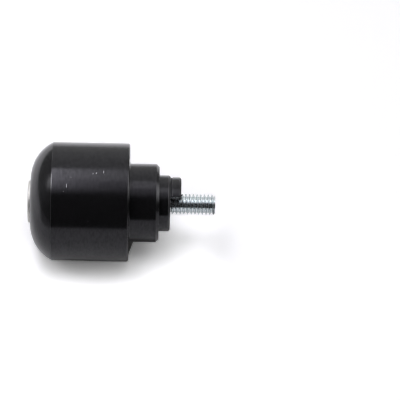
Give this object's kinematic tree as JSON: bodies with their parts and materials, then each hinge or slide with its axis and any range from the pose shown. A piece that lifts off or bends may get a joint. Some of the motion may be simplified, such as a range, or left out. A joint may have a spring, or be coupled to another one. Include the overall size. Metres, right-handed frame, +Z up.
{
  "type": "bar end weight",
  "caption": "Round domed weight for a handlebar's end, with a stepped spigot, a half-moon tongue and a countersunk fixing screw through its middle.",
  "frame": {"origin": "centre of the seat, the flat shoulder that meets the end of the bar", "axes": "+X along the bar and into it, from the dome to the screw's tip; +Z up"},
  "size_m": [0.0505, 0.032, 0.032],
  "materials": {
    "black_anodised": "black anodised over fine turning marks, satin gloss, lightly scuffed",
    "zinc_plate": "bright zinc plated steel with a bluish cast"
  },
  "bodies": {
    "root": {"weight": "black_anodised", "fixing_screw": "zinc_plate"}
  },
  "joints": []
}
